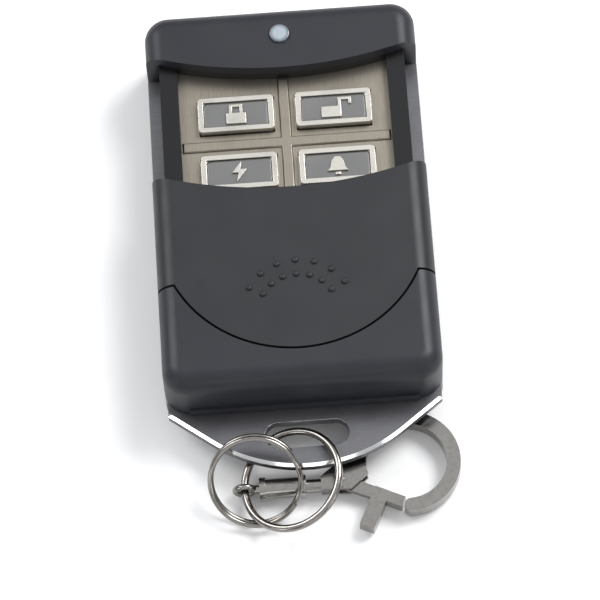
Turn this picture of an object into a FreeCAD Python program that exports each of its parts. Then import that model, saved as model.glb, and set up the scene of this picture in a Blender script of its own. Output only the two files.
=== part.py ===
import FreeCAD, Part
import Sketcher
import math
import os

# A four-key alarm remote with a sliding cover and a metal frame that ends in a key-ring tab.
# Two rings and a swivel clasp hang on the tab.
# Origin: centre of the back face. X to the right, Y towards the lamp end, Z out of the key face. Millimetres.

os.makedirs("parts", exist_ok=True)
doc = FreeCAD.newDocument("AlarmRemote")
sheet = doc.addObject("Spreadsheet::Sheet", "Sizes")
sheet_rows = []
parts = []


class Size:
    """A number together with the spreadsheet expression that gives it."""

    def __init__(self, value, text):
        self.value = float(value)
        self.text = text

    def __add__(self, other):
        other = as_size(other)
        return Size(self.value + other.value, "(" + self.text + "+" + other.text + ")")

    def __sub__(self, other):
        other = as_size(other)
        return Size(self.value - other.value, "(" + self.text + "-" + other.text + ")")

    def __mul__(self, other):
        other = as_size(other)
        return Size(self.value * other.value, "(" + self.text + "*" + other.text + ")")

    def __truediv__(self, other):
        other = as_size(other)
        return Size(self.value / other.value, "(" + self.text + "/" + other.text + ")")

    def __rtruediv__(self, other):
        return as_size(other) / self

    def __neg__(self):
        return as_size(0) - self

    def __radd__(self, other):
        return as_size(other) + self

    def __rsub__(self, other):
        return as_size(other) - self

    def __rmul__(self, other):
        return as_size(other) * self


def as_size(number):
    if isinstance(number, Size):
        return number
    return Size(number, "(" + repr(float(number)) + ")")


def root_of(amount):
    return Size(math.sqrt(amount.value), "sqrt(" + amount.text + ")")


def sine(degrees):
    return Size(math.sin(math.radians(degrees.value)), "sin(" + degrees.text + "*1deg)")


def cosine(degrees):
    return Size(math.cos(math.radians(degrees.value)), "cos(" + degrees.text + "*1deg)")


def driving(alias, value):
    """One driving dimension: a row of the sheet with its name and number."""
    row = str(len(sheet_rows) + 1)
    sheet_rows.append(alias)
    sheet.set("A" + row, alias)
    sheet.set("B" + row, str(value))
    sheet.setAlias("B" + row, alias)
    return Size(value, "Sizes." + alias)


names_before_sizes = set(globals()) | {"names_before_sizes"}

# The case
case_width = 36.0  # width of the case over its sides
case_length = 55.0  # length of the case without its tab
case_height = 13.0  # height from the back face to the cover's top
corner_radius = 3.2  # plan radius of the case corners
edge_radius = 2.6  # rounding along the top edge of the case and the cover
back_edge_radius = 1.1  # rounding along the back edge
case_wall = 1.6  # wall of the front case and the back cover
back_floor = 1.2  # thickness of the back cover's floor
back_height = 3.5  # height of the back cover
seam_gap = 0.05  # gap in a closed seam between two shells
frame_plate = 1.5  # thickness of the metal frame and its tab
ledge_width = 1.6  # width of the silver ledge beside each rail
ledge_top = 7.3  # height of the silver ledges' top face
bead_height = 1.4  # height of the raised bead at the case's lower end
bead_depth = 0.4  # how far the bead stands out of the end face

# The sliding cover and its channel
cover_thickness = 1.5  # thickness of the cover's top
slide_gap = 0.3  # gap between the cover and what it slides along
deck_thickness = 1.3  # thickness of the deck under the cover
cover_top_middle = 0.2  # lengthwise place of the cover's hollow upper edge on the centre line
cover_travel = 17.5  # how far the cover slides to close
arc_radius = 55.0  # plan radius of the cover's upper edge
tongue_radius = 17.3  # plan radius of the cover's round lower edge
tongue_middle = -5.5  # lengthwise place of that round edge's centre
shoulder_place = -12.8  # lengthwise place where the cover's sides end
hook_depth = 0.7  # how far the cover's hooks reach into the rails
hook_height = 0.9  # height of the cover's hooks
hook_gap = 0.15  # gap between a hook and its groove
dot_radius = 0.42  # radius of a grip dot
dot_height = 0.3  # how far a grip dot stands up
outer_dot_ring = 7.1  # radius of the outer arc of grip dots
inner_dot_ring = 5.1  # radius of the inner arc of grip dots
dot_middle = -17.6  # lengthwise place of the dot arcs' centre
dot_step_angle = 20.0  # angle between two grip dots in degrees

# The keys and their plate
plate_thickness = 0.6  # thickness of the key plate
plate_gap = 0.05  # gap between the key plate and the case
window_half = 13.9  # half width of the window over the key plate
window_low = -0.2  # lengthwise place of the window's lower edge
plate_margin = 0.6  # how far the key plate reaches under the window's edge
key_width = 10.0  # width of a key
key_length = 5.1  # length of a key
key_pitch_across = 12.9  # distance between the keys across the case
key_pitch_along = 8.6  # distance between the keys along the case
key_middle = 8.4  # lengthwise place of the middle of the four keys
key_gap = 0.15  # gap around a key in its opening
key_proud = 1.0  # how far a key stands out of its plate
key_rim = 0.7  # width of the raised rim of a key
key_recess = 0.35  # depth of the recess inside the rim
key_lip = 0.5  # width of the lip that keeps a key in
key_lip_height = 0.5  # height of that lip
key_travel = 0.3  # travel of a key
cross_height = 0.3  # height of the raised cross between the keys
cross_width = 1.5  # width of the raised cross

# The inside
board_thickness = 1.2  # thickness of the circuit board
switch_side = 4.5  # side of a tact switch
switch_height = 1.6  # height of a tact switch
plunger_radius = 1.2  # radius of a switch plunger
plunger_proud = 0.45  # how far a plunger stands out of its switch
plunger_depth = 0.6  # how deep a plunger sits in its switch
running_gap = 0.08  # radial gap of a moving pin in its hole
lens_radius = 1.35  # radius of the lamp lens
lens_place = 23.0  # lengthwise place of the lamp lens
battery_radius = 3.9  # radius of the battery
battery_length = 28.0  # length of the battery
battery_place = -18.7  # lengthwise place of the battery
battery_gap = 0.25  # gap between the battery and its cradle
spring_wire = 0.5  # wire of the battery spring
spring_radius = 2.2  # mean radius of the battery spring
screw_radius = 0.95  # radius of a case screw's thread
screw_head_radius = 1.7  # radius of a case screw's head
screw_head_height = 1.0  # height of a case screw's head
head_sink = 0.3  # how deep a screw head lies under the back face
boss_radius = 2.1  # radius of a screw boss
upper_screw_across = 12.3  # place of the upper case screws from the middle
upper_screw_along = 23.3  # lengthwise place of the upper case screws
lower_screw_across = 13.4  # place of the lower case screws from the middle
lower_screw_along = -25.0  # lengthwise place of the lower case screws

# The tab, the rings and the clasp
tab_reach = 8.5  # how far the tab reaches past the case
tab_taper_angle = 37.5  # angle of the tab's straight tapers to the case's end, in degrees
tab_inset = 0.3  # how far the tab's root stays inside the case's sides
tab_root = 0.2  # straight stretch of the tab before its taper
tab_bevel = 0.4  # polished bevel along the tab's upper rim
slot_length = 10.9  # length of the tab's slot
slot_width = 3.6  # width of the tab's slot
slot_place = 4.0  # distance from the case's end to the slot's middle

# Smaller parts of the case, the keys, the inside and the chain
board_half = 14.1  # half width of the circuit board
board_near = -12.0  # lengthwise place of the board's lower edge
rail_web = 0.9  # wall left in a rail behind its groove
post_radius = 1.5  # radius of a board post
board_screw_radius = 0.6  # radius of a board screw's thread
lower_post_across = 11.0  # place of the lower board posts from the middle
lower_post_along = -7.0  # lengthwise place of the lower board posts
upper_post_across = 5.8  # place of the upper board posts from the middle
upper_post_along = 23.8  # lengthwise place of the upper board posts
head_hollow_half = 8.5  # half width of the hollow behind the lamp
detent_place = -3.2  # lengthwise place of the cover's detent spring
detent_half = 3.4  # half length of the detent spring's pocket
detent_width = 1.8  # width of the detent spring's pocket
detent_depth = 0.9  # depth of the detent spring's pocket
dimple_depth = 0.35  # depth of the dimples under the cover
overrun = 2.0  # how far a cutting outline runs past the case
saddle_inset = 0.5  # distance from the battery cradle's ends to the side walls
hook_setback = 1.0  # distance from the cover's shoulder to its hooks
head_room = 0.3  # gap around a screw head in the plate it passes
pictogram_unit = 1.0  # scale of the raised pictograms on the keys
key_corner = 0.5  # corner radius of a key
lens_flange = 0.5  # how far the lens flange reaches past the lens
lens_flange_height = 0.6  # height of the lens flange
lamp_height = 0.9  # height of the lamp on the board
lamp_half = 0.8  # half width of the lamp on the board
lens_dome = 0.35  # how far the lens stands out of the case
chip_length = 8.6  # length of the encoder chip
chip_width = 3.9  # width of the encoder chip
chip_height = 1.4  # height of the encoder chip
resonator_radius = 4.2  # radius of the resonator can
resonator_height = 2.2  # height of the resonator can
coil_radius = 1.6  # mean radius of the antenna coil
coil_wire = 0.6  # wire of the antenna coil
coil_turns = 4  # turns of the antenna coil
coil_pitch = 1.15  # distance between two turns of the antenna coil
contact_thickness = 0.3  # thickness of the battery contacts
contact_half = 3.1  # half width of the battery contacts
contact_gap = 0.15  # gap between a battery contact and the case
nub_radius = 1.6  # radius of the battery's raised end
nub_height = 0.7  # height of the battery's raised end
spring_turns = 2.5  # turns of the battery spring
board_head_radius = 1.1  # radius of a board screw's head
board_head_height = 0.6  # height of a board screw's head
board_screw_length = 3.6  # length of a board screw's thread
recess_width = 0.45  # width of the cross recess in a screw head
recess_depth = 0.5  # depth of the cross recess in a screw head
case_screw_length = 7.6  # length of a case screw's thread
spring_strip = 0.3  # thickness of the detent spring
link_radius = 6.6  # mean radius of the link ring
link_wire = 1.0  # wire of the link ring
link_tilt_angle = 22.0  # how far the link ring leans, in degrees
link_across = -2.4  # place of the link ring's centre across the case
link_back = 9.9  # distance from the case's end to the link ring's centre
eye_radius = 1.2  # mean radius of the swivel eye
eye_wire = 0.8  # wire of the swivel eye
post_thread = 0.6  # radius of the swivel post
post_head_radius = 0.85  # radius of the swivel post's head
post_head_length = 0.7  # length of the swivel post's head
barrel_radius = 1.3  # radius of the swivel barrel
collar_radius = 1.55  # radius of the barrel's collars
collar_length = 0.8  # length of a collar
barrel_length = 6.0  # length of the barrel with its collars
barrel_mouth = 1.2  # thickness of the barrel's closed mouth
end_play = 0.15  # end play of the swivel
neck_radius = 0.9  # radius of the clasp's neck
neck_length = 2.6  # length of the clasp's neck
hook_outer = 7.0  # outer radius of the clasp's hook
hook_inner = 5.2  # inner radius of the clasp's hook
hook_thickness = 1.9  # thickness of the clasp's hook
hook_across = 10.5  # distance from the neck's end to the hook's centre
hook_rise = 2.2  # how far the hook's centre lies beside the swivel axis
fork_width = 1.1  # width of the slot in the clasp's fork
gate_thin = 0.9  # thickness of the gate in the fork
gate_pin_radius = 0.4  # radius of the gate pin
gate_angle = -25.5  # direction of the closed gate, in degrees
gate_length = 8.6  # length of the gate from its pin
gate_half = 0.7  # half width of the gate
gate_shoulder = 4.4  # distance from the pin to the gate's thick part
knob_width = 2.0  # width of the thumb knob
knob_length = 4.2  # length of the thumb knob
pin_across = 2.0  # distance from the neck's end to the gate pin
pin_beside = 0.3  # how far the gate pin lies beside the swivel axis
split_radius = 5.8  # mean radius of the split ring
split_wire = 0.7  # wire of the split ring
split_pitch = 1.12  # distance between the split ring's two turns
split_tilt_angle = 40.0  # how far the split ring leans, in degrees
split_across = -7.0  # place of the split ring's centre across the case
split_back = 9.9  # distance from the case's end to the split ring's centre
split_height = 4.55  # height of the split ring's centre
split_facing_angle = 83.3  # direction in which the split ring rises, in degrees
screw_clearance = 0.2  # gap around a case screw in the back cover and the frame
foot_margin = 0.4  # how much wider the back cover's screw feet are than the bosses
cradle_place = 9.0  # distance of each battery cradle from the middle
cradle_height = 1.0  # height of the battery cradles above the floor
sink_gap = 0.1  # space above a sunk screw head
frame_step = 0.2  # how far the frame's opening stays outside the rails
rail_gap = 0.1  # gap between a rail and its ledge
opening_margin = 0.5  # distance from the frame's opening to the battery and the bosses
board_gap = 0.5  # gap between the circuit board and the case
dot_round = 0.24  # rounding of a grip dot
cross_bevel = 0.18  # bevel along the raised cross
dimple_half = 0.45  # half width of a dimple under the cover
detent_bump_half = 0.6  # half length of the detent spring's bump
recess_share = 0.7  # length of a screw's cross recess as a share of its head
neck_overlap = 0.65  # how far the hook's plate reaches back along its neck
throat_across = 1.2  # distance from the gate pin to the throat's lower corner, across
throat_beside = 1.4  # distance from the gate pin to the throat's lower corner, beside it
fork_heel = 1.3  # distance from the gate pin to the fork's closed end
fork_side = 1.2  # distance from the gate pin to the fork's closed side
fork_end = 3.9  # distance from the hook's middle to the fork's open end
hook_tip_angle = -88  # direction of the hook's tip from its middle, in degrees
hook_root_angle = 162  # direction where the neck's upper side meets the hook, in degrees
throat_angle = 195  # direction where the hook's inside ends at the throat, in degrees
gate_heel = 0.9  # radius of the gate's round end at its pin

# Each number named above becomes a row of the sheet, and from here on its name stands for that row.
for size_name in [name for name in globals() if name not in names_before_sizes]:
    globals()[size_name] = driving(size_name, globals()[size_name])

front_low = back_height + frame_plate
half_width = case_width / 2
half_length = case_length / 2
rail_outer = half_width - ledge_width - rail_gap
skirt_inner = rail_outer + slide_gap
skirt_low = ledge_top + slide_gap
cover_inner_top = case_height - cover_thickness
deck_top = cover_inner_top - slide_gap
deck_low = deck_top - deck_thickness
plate_top = deck_low - plate_gap
plate_low = plate_top - plate_thickness
key_top = plate_top + key_proud
key_lip_top = plate_low - plate_gap
key_low = key_lip_top - key_lip_height
plunger_top = key_low - plate_gap
switch_top = plunger_top - plunger_proud
board_top = switch_top - switch_height
board_low = board_top - board_thickness
inner_half_width = half_width - case_wall
inner_half_length = half_length - case_wall
tab_end = -half_length - tab_reach


def head_arc_at(across, clearance):
    """Lengthwise place of the head's hollow edge at a distance from the centre line."""
    rise = arc_radius - root_of(arc_radius * arc_radius - across * across)
    return cover_top_middle + cover_travel + clearance + rise


def origin_plane(body, role):
    for feature in body.Origin.OriginFeatures:
        if feature.Role == role:
            return feature
    raise RuntimeError("no plane " + role)


def new_part(name):
    body = doc.addObject("PartDesign::Body", name)
    body.Label = name
    parts.append(body)
    return body


def sketch_at(body, height):
    """An empty sketch parallel to the back face, at a height above it."""
    sketch = body.newObject("Sketcher::SketchObject", body.Name + "_sketch")
    sketch.AttachmentSupport = [(origin_plane(body, "XY_Plane"), "")]
    sketch.MapMode = "FlatFace"
    sketch.setExpression("AttachmentOffset.Base.z", as_size(height).text)
    return sketch


def add_rule(sketch, constraint, size):
    index = sketch.addConstraint(constraint)
    sketch.setExpression("Constraints[" + str(index) + "]", size.text)


def pin_point(sketch, geometry, corner, point):
    for kind, place in zip(("DistanceX", "DistanceY"), point):
        place = as_size(place)
        rule = Sketcher.Constraint(kind, -1, 1, geometry, corner, place.value)
        add_rule(sketch, rule, place)


def arc_between(start, end, radius, turn):
    """The short arc from start to end that turns left (1) or right (-1)."""
    middle = (start + end) * 0.5
    chord = end - start
    side = FreeCAD.Vector(-chord.y, chord.x, 0)
    side.normalize()
    reach = math.sqrt(max(radius * radius - chord.Length * chord.Length / 4, 0.0))
    top = middle + side * turn * (reach - radius)
    return Part.Arc(start, top, end)


def draw(sketch, corners):
    """A closed outline: each corner is (x, y) for a line to the next, or (x, y, radius, turn) for an arc."""
    points = [FreeCAD.Vector(as_size(corner[0]).value, as_size(corner[1]).value, 0) for corner in corners]
    ends = []
    for number, corner in enumerate(corners):
        start = points[number]
        end = points[(number + 1) % len(points)]
        if len(corner) == 2:
            geometry = sketch.addGeometry(Part.LineSegment(start, end), False)
            ends.append((geometry, 1, 2))
        else:
            geometry = sketch.addGeometry(arc_between(start, end, corner[2].value, corner[3]), False)
            first_off = (sketch.getPoint(geometry, 1) - start).Length
            second_off = (sketch.getPoint(geometry, 2) - start).Length
            forward = first_off < second_off
            ends.append((geometry, 1, 2) if forward else (geometry, 2, 1))
            add_rule(sketch, Sketcher.Constraint("Radius", geometry, corner[2].value), corner[2])
    for number, (geometry, start_corner, end_corner) in enumerate(ends):
        following = ends[(number + 1) % len(ends)]
        meeting = Sketcher.Constraint("Coincident", geometry, end_corner, following[0], following[1])
        sketch.addConstraint(meeting)
        pin_point(sketch, geometry, start_corner, corners[number][:2])


def draw_circle(sketch, across, along, radius):
    centre = FreeCAD.Vector(as_size(across).value, as_size(along).value, 0)
    circle = Part.Circle(centre, FreeCAD.Vector(0, 0, 1), as_size(radius).value)
    geometry = sketch.addGeometry(circle, False)
    add_rule(sketch, Sketcher.Constraint("Radius", geometry, as_size(radius).value), as_size(radius))
    pin_point(sketch, geometry, 3, (across, along))


def box_corners(left, right, near, far):
    return [(left, near), (right, near), (right, far), (left, far)]


def obround_corners(middle_x, middle_y, length, width):
    """A slot with round ends, as four corners: two straight sides and two ends of two arcs each."""
    end = width / 2
    left = middle_x - length / 2 + end
    right = middle_x + length / 2 - end
    low = middle_y - end
    high = middle_y + end
    return [
        (left, low),
        (right, low, end, 1),
        (right + end, middle_y, end, 1),
        (right, high),
        (left, high, end, 1),
        (left - end, middle_y, end, 1),
    ]


def extrude(body, kind, start, length, outlines, circles, reverse):
    sketch = sketch_at(body, start)
    for outline in outlines:
        draw(sketch, outline)
    for across, along, radius in circles:
        draw_circle(sketch, across, along, radius)
    feature = body.newObject("PartDesign::" + kind, body.Name + "_" + kind)
    feature.Profile = sketch
    feature.setExpression("Length", as_size(length).text)
    feature.Reversed = reverse
    before = body.Shape.Volume if len(body.Group) > 2 else 0.0
    doc.recompute()
    change = body.Shape.Volume - before
    if (kind == "Pad" and change <= 0) or (kind == "Pocket" and change >= 0):
        raise RuntimeError(body.Name + ": a " + kind + " changed nothing")
    return feature


def add(body, low, high, outlines=(), circles=()):
    """Material between two heights."""
    return extrude(body, "Pad", low, as_size(high) - low, outlines, circles, False)


def cut(body, low, high, outlines=(), circles=()):
    """A hollow between two heights."""
    return extrude(body, "Pocket", high, as_size(high) - low, outlines, circles, False)


def round_edges(body, radius, wanted, kind="Fillet"):
    """Rounds or bevels the edges of the last feature that a test on each edge picks."""
    base = body.Tip
    names = []
    for number, edge in enumerate(base.Shape.Edges):
        if wanted(edge):
            names.append("Edge" + str(number + 1))
    feature = body.newObject("PartDesign::" + kind, body.Name + "_" + kind)
    feature.Base = (base, names)
    feature.setExpression("Radius" if kind == "Fillet" else "Size", as_size(radius).text)
    doc.recompute()
    return feature


def is_upright(edge):
    box = edge.BoundBox
    return box.XLength < 0.01 and box.YLength < 0.01 and box.ZLength > 0.1


def at_height(height):
    level = as_size(height).value

    def test(edge):
        box = edge.BoundBox
        return abs(box.ZMin - level) < 0.01 and abs(box.ZMax - level) < 0.01

    return test


def case_block(body, low, high, rounded_at, radius):
    """The case's outer block between two heights, its corners round and the edge at one height rounded."""
    add(body, low, high, [box_corners(-half_width, half_width, -half_length, half_length)])
    round_edges(body, corner_radius, is_upright)
    round_edges(body, radius, at_height(rounded_at))


def case_screw_places():
    return [
        (-upper_screw_across, upper_screw_along),
        (upper_screw_across, upper_screw_along),
        (-lower_screw_across, lower_screw_along),
        (lower_screw_across, lower_screw_along),
    ]


def round_pieces(places, radius):
    return [(across, along, radius) for across, along in places]


def make_back_cover():
    body = new_part("back_cover")
    case_block(body, as_size(0), back_height, as_size(0), back_edge_radius)
    hollow = box_corners(-inner_half_width, inner_half_width, -inner_half_length, inner_half_length)
    cut(body, back_floor, back_height, [hollow])
    add(body, back_floor, back_height, circles=round_pieces(case_screw_places(), boss_radius + foot_margin))
    saddle_half = spring_radius / 2
    add(body, back_floor, back_floor + cradle_height, [
        box_corners(side * cradle_place - saddle_half, side * cradle_place + saddle_half,
                    battery_place - battery_radius, battery_place + battery_radius)
        for side in (-1, 1)
    ])
    shave = body.newObject("PartDesign::SubtractiveCylinder", "back_cover_cradle")
    shave.setExpression("Radius", (battery_radius + battery_gap).text)
    shave.setExpression("Height", (2 * (inner_half_width - saddle_inset)).text)
    shave.AttachmentSupport = [(origin_plane(body, "YZ_Plane"), "")]
    shave.MapMode = "FlatFace"
    shave.setExpression("AttachmentOffset.Base.x", battery_place.text)
    shave.setExpression("AttachmentOffset.Base.y", battery_middle_height.text)
    shave.setExpression("AttachmentOffset.Base.z", (saddle_inset - inner_half_width).text)
    doc.recompute()
    hole = screw_radius + screw_clearance
    cut(body, as_size(0), back_height, circles=round_pieces(case_screw_places(), hole))
    sink = head_sink + screw_head_height + sink_gap
    head_hole = screw_head_radius + screw_clearance
    cut(body, as_size(0), sink, circles=round_pieces(case_screw_places(), head_hole))
    return body


battery_middle_height = back_floor + battery_gap + battery_radius


def make_metal_frame():
    body = new_part("metal_frame")
    case_outline = box_corners(-half_width, half_width, -half_length, half_length)
    low = back_height + seam_gap
    high = front_low - seam_gap
    add(body, low, high, [case_outline])
    round_edges(body, corner_radius, is_upright)
    add(body, low, high, [tab_outline()])
    slot = obround_corners(as_size(0), -half_length - slot_place, slot_length, slot_width)
    cut(body, low, high, [slot])
    opening_half = half_width - ledge_width - frame_step
    cut(body, low, high, [box_corners(-opening_half, opening_half, frame_opening_low, frame_opening_high)])
    cut(body, low, high, circles=round_pieces(case_screw_places(), screw_radius + screw_clearance))
    head_holes = round_pieces(board_screw_places()[2:], board_head_radius + head_room)
    cut(body, low, high, circles=head_holes)
    ledges = []
    for side in (-1, 1):
        inner = side * (half_width - ledge_width)
        ledges.append(box_corners(inner, side * half_width, shoulder_place - rail_gap, ledge_far))
    add(body, high, ledge_top, ledges)

    def on_tab_rim(edge):
        box = edge.BoundBox
        past_case = box.YMax < -half_length.value
        level = abs(box.ZMin - high.value) < 0.01 and abs(box.ZMax - high.value) < 0.01
        slot_low = (-half_length - slot_place - slot_width).value
        slot_edge = box.YMin > slot_low and box.XLength < slot_length.value
        return past_case and level and not slot_edge

    round_edges(body, tab_bevel, on_tab_rim, "Chamfer")
    return body


def tab_outline():
    """Two straight tapers that run into one round nose."""
    root_half = half_width - tab_inset
    root_end = -half_length - tab_root
    slope = sine(tab_taper_angle) / cosine(tab_taper_angle)
    nose_radius = (root_half * slope - (root_end - tab_end)) / (1 / cosine(tab_taper_angle) - 1)
    nose_half = nose_radius * sine(tab_taper_angle)
    nose_start = tab_end + nose_radius * (1 - cosine(tab_taper_angle))
    return [
        (-root_half, -half_length + corner_radius),
        (-root_half, root_end),
        (-nose_half, nose_start, nose_radius, 1),
        (nose_half, nose_start),
        (root_half, root_end),
        (root_half, -half_length + corner_radius),
    ]


frame_opening_low = battery_place - battery_radius - opening_margin
frame_opening_high = upper_screw_along - boss_radius - opening_margin
ledge_far = head_arc_at(half_width - ledge_width, as_size(0))


groove_floor = rail_outer - hook_depth - hook_gap
hollow_half = groove_floor - rail_web


def channel_outline(inner, outer, clearance):
    """One side of the cover's channel, from the shoulder to the head's hollow edge."""
    shoulder = shoulder_place - clearance
    return [
        (inner, shoulder),
        (outer, shoulder),
        (outer, head_arc_at(outer, clearance), arc_radius, -1),
        (inner, head_arc_at(inner, clearance)),
    ]


def mirrored(outline):
    """The same outline on the left side: the corners run the other way round."""
    flipped = []
    count = len(outline)
    for number in range(count):
        corner = outline[(count - number) % count]
        before = outline[(count - number - 1) % count]
        if len(before) == 4:
            flipped.append((-corner[0], corner[1], before[2], before[3]))
        else:
            flipped.append((-corner[0], corner[1]))
    return flipped


def board_screw_places():
    return [
        (-lower_post_across, lower_post_along),
        (lower_post_across, lower_post_along),
        (-upper_post_across, upper_post_along),
        (upper_post_across, upper_post_along),
    ]


def make_front_case():
    body = new_part("front_case")
    case_block(body, front_low, case_height, case_height, edge_radius)
    bead_half = half_width - corner_radius
    bead = box_corners(-bead_half, bead_half, -half_length - bead_depth, -half_length + case_wall)
    add(body, front_low, front_low + bead_height, [bead])
    side = half_width + overrun
    shoulder = shoulder_place - slide_gap
    tongue = tongue_radius + slide_gap
    reach = shoulder - tongue_middle
    half_chord = root_of(tongue * tongue - reach * reach)
    far = head_arc_at(side, slide_gap)
    cut(body, deck_top, case_height, [[
        (-side, shoulder),
        (-half_chord, shoulder, tongue, 1),
        (half_chord, shoulder),
        (side, shoulder),
        (side, far, arc_radius, -1),
        (-side, far),
    ]])
    channel = channel_outline(rail_outer, side, slide_gap)
    cut(body, front_low, deck_top, [channel, mirrored(channel)])
    groove = box_corners(groove_floor, rail_outer, shoulder, cover_top_middle + cover_travel)
    cut(body, skirt_low - hook_gap, skirt_low + hook_height + hook_gap, [groove, mirrored(groove)])
    waist = shoulder - case_wall
    cut(body, front_low, deck_low, [[
        (-inner_half_width, -inner_half_length),
        (inner_half_width, -inner_half_length),
        (inner_half_width, waist),
        (hollow_half, waist),
        (hollow_half, inner_half_length),
        (-hollow_half, inner_half_length),
        (-hollow_half, waist),
        (-inner_half_width, waist),
    ]])
    head_near = lens_place - lens_radius - lens_flange - slide_gap
    hollow = box_corners(-head_hollow_half, head_hollow_half, head_near, inner_half_length)
    cut(body, deck_low, cover_inner_top, [hollow])
    window_far = head_arc_at(window_half, slide_gap)
    cut(body, deck_low, deck_top, [[
        (-window_half, window_low),
        (window_half, window_low),
        (window_half, window_far, arc_radius, -1),
        (-window_half, window_far),
    ]])
    pocket = box_corners(-detent_half, detent_half,
                         detent_place - detent_width / 2, detent_place + detent_width / 2)
    cut(body, deck_top - detent_depth, deck_top, [pocket])
    cut(body, cover_inner_top, case_height, circles=[(as_size(0), lens_place, lens_radius + seam_gap)])
    add(body, front_low, deck_low, circles=round_pieces(case_screw_places(), boss_radius))
    cut(body, front_low, deck_low, circles=round_pieces(case_screw_places(), screw_radius + seam_gap))
    lower_posts = round_pieces(board_screw_places()[:2], post_radius)
    upper_posts = round_pieces(board_screw_places()[2:], post_radius)
    add(body, board_top, deck_low, circles=lower_posts)
    add(body, board_top, cover_inner_top, circles=upper_posts)
    holes = round_pieces(board_screw_places(), board_screw_radius + seam_gap)
    cut(body, board_top, deck_low, circles=holes)
    return body


def dot_places():
    places = []
    for ring in (outer_dot_ring, inner_dot_ring):
        for number in range(-3, 4):
            turn = dot_step_angle * number
            places.append((ring * sine(turn), dot_middle + ring * cosine(turn)))
    return places


def make_slide_cover():
    body = new_part("slide_cover")
    case_block(body, skirt_low, case_height, case_height, edge_radius)
    side = half_width + overrun
    top_far = head_arc_at(side, as_size(0)) - cover_travel
    end = half_length + overrun
    reach = shoulder_place - tongue_middle
    half_chord = root_of(tongue_radius * tongue_radius - reach * reach)
    above = [(-side, top_far, arc_radius, 1), (side, top_far), (side, end), (-side, end)]
    below = [
        (-side, -end),
        (side, -end),
        (side, shoulder_place),
        (half_chord, shoulder_place, tongue_radius, -1),
        (-half_chord, shoulder_place),
        (-side, shoulder_place),
    ]
    cut(body, skirt_low, case_height, [above, below])
    cut(body, skirt_low, cover_inner_top, [box_corners(-skirt_inner, skirt_inner, -end, end)])
    hook = box_corners(rail_outer - hook_depth, skirt_inner, shoulder_place + hook_setback, cover_top_middle)
    add(body, skirt_low, skirt_low + hook_height, [hook, mirrored(hook)])
    for place in (detent_place, detent_place - cover_travel):
        dimple = box_corners(-detent_half, detent_half, place - dimple_half, place + dimple_half)
        cut(body, cover_inner_top, cover_inner_top + dimple_depth, [dimple])
    add(body, case_height, case_height + dot_height,
        circles=[(across, along, dot_radius) for across, along in dot_places()])
    round_edges(body, dot_round, at_height(case_height + dot_height))
    return body


def key_places():
    """Where the four keys stand: upper left, upper right, lower left, lower right."""
    places = []
    for along_sign in (1, -1):
        for across_sign in (-1, 1):
            across = key_pitch_across / 2 * across_sign
            along = key_middle + key_pitch_along / 2 * along_sign
            places.append((across, along))
    return places


def box_around(place, width, length):
    across, along = place
    return box_corners(across - width / 2, across + width / 2, along - length / 2, along + length / 2)


def make_key_plate():
    body = new_part("key_plate")
    half = window_half + plate_margin
    near = window_low - plate_margin
    far = head_arc_at(window_half, slide_gap) + plate_margin
    add(body, plate_low, plate_top, [box_corners(-half, half, near, far)])
    opening_width = key_width + 2 * key_gap
    opening_length = key_length + 2 * key_gap
    openings = [box_around(place, opening_width, opening_length) for place in key_places()]
    cut(body, plate_low, plate_top, openings)
    arm = cross_width / 2
    bar_half = window_half - key_gap
    bar_near = window_low + key_gap
    bar_far = cover_top_middle + cover_travel + slide_gap - key_gap
    add(body, plate_top, plate_top + cross_height, [[
        (-arm, bar_near),
        (arm, bar_near),
        (arm, key_middle - arm),
        (bar_half, key_middle - arm),
        (bar_half, key_middle + arm),
        (arm, key_middle + arm),
        (arm, bar_far),
        (-arm, bar_far),
        (-arm, key_middle + arm),
        (-bar_half, key_middle + arm),
        (-bar_half, key_middle - arm),
        (-arm, key_middle - arm),
    ]])
    round_edges(body, cross_bevel, at_height(plate_top + cross_height), "Chamfer")
    return body


closed_lock = [
    [(-1.3, -1.5), (1.3, -1.5), (1.3, 0.1), (0.9, 0.1), (0.9, 1.4), (-0.9, 1.4), (-0.9, 0.1), (-1.3, 0.1)],
    [(-0.5, 0.1), (0.5, 0.1), (0.5, 1.0), (-0.5, 1.0)],
]
open_lock = [[
    (-1.6, -1.5), (1.0, -1.5), (1.0, 1.0), (2.0, 1.0), (2.0, 0.4), (2.4, 0.4), (2.4, 1.4), (0.6, 1.4),
    (0.6, 0.1), (-1.6, 0.1),
]]
lightning = [[(0.3, 1.5), (-1.0, -0.2), (-0.1, -0.2), (-0.4, -1.5), (1.0, 0.3), (0.1, 0.3)]]
bell = [
    [
        (-1.4, -0.9), (1.4, -0.9), (1.0, -0.4), (0.8, 0.6),
        (0.35, 1.2), (-0.35, 1.2), (-0.8, 0.6), (-1.0, -0.4),
    ],
    [(-0.35, -1.5), (0.35, -1.5), (0.35, -1.1), (-0.35, -1.1)],
]


def make_key(name, place, pictogram):
    body = new_part(name)
    add(body, key_low, key_lip_top, [box_around(place, key_width + 2 * key_lip, key_length + 2 * key_lip)])
    add(body, key_lip_top, key_top, [box_around(place, key_width, key_length)])

    def is_cap_corner(edge):
        return is_upright(edge) and edge.BoundBox.ZMax > plate_top.value

    round_edges(body, key_corner, is_cap_corner)
    floor = key_top - key_recess
    cut(body, floor, key_top, [box_around(place, key_width - 2 * key_rim, key_length - 2 * key_rim)])
    across, along = place
    outlines = [
        [(across + pictogram_unit * x, along + pictogram_unit * y) for x, y in outline]
        for outline in pictogram
    ]
    add(body, floor, key_top, outlines)
    return body


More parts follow.
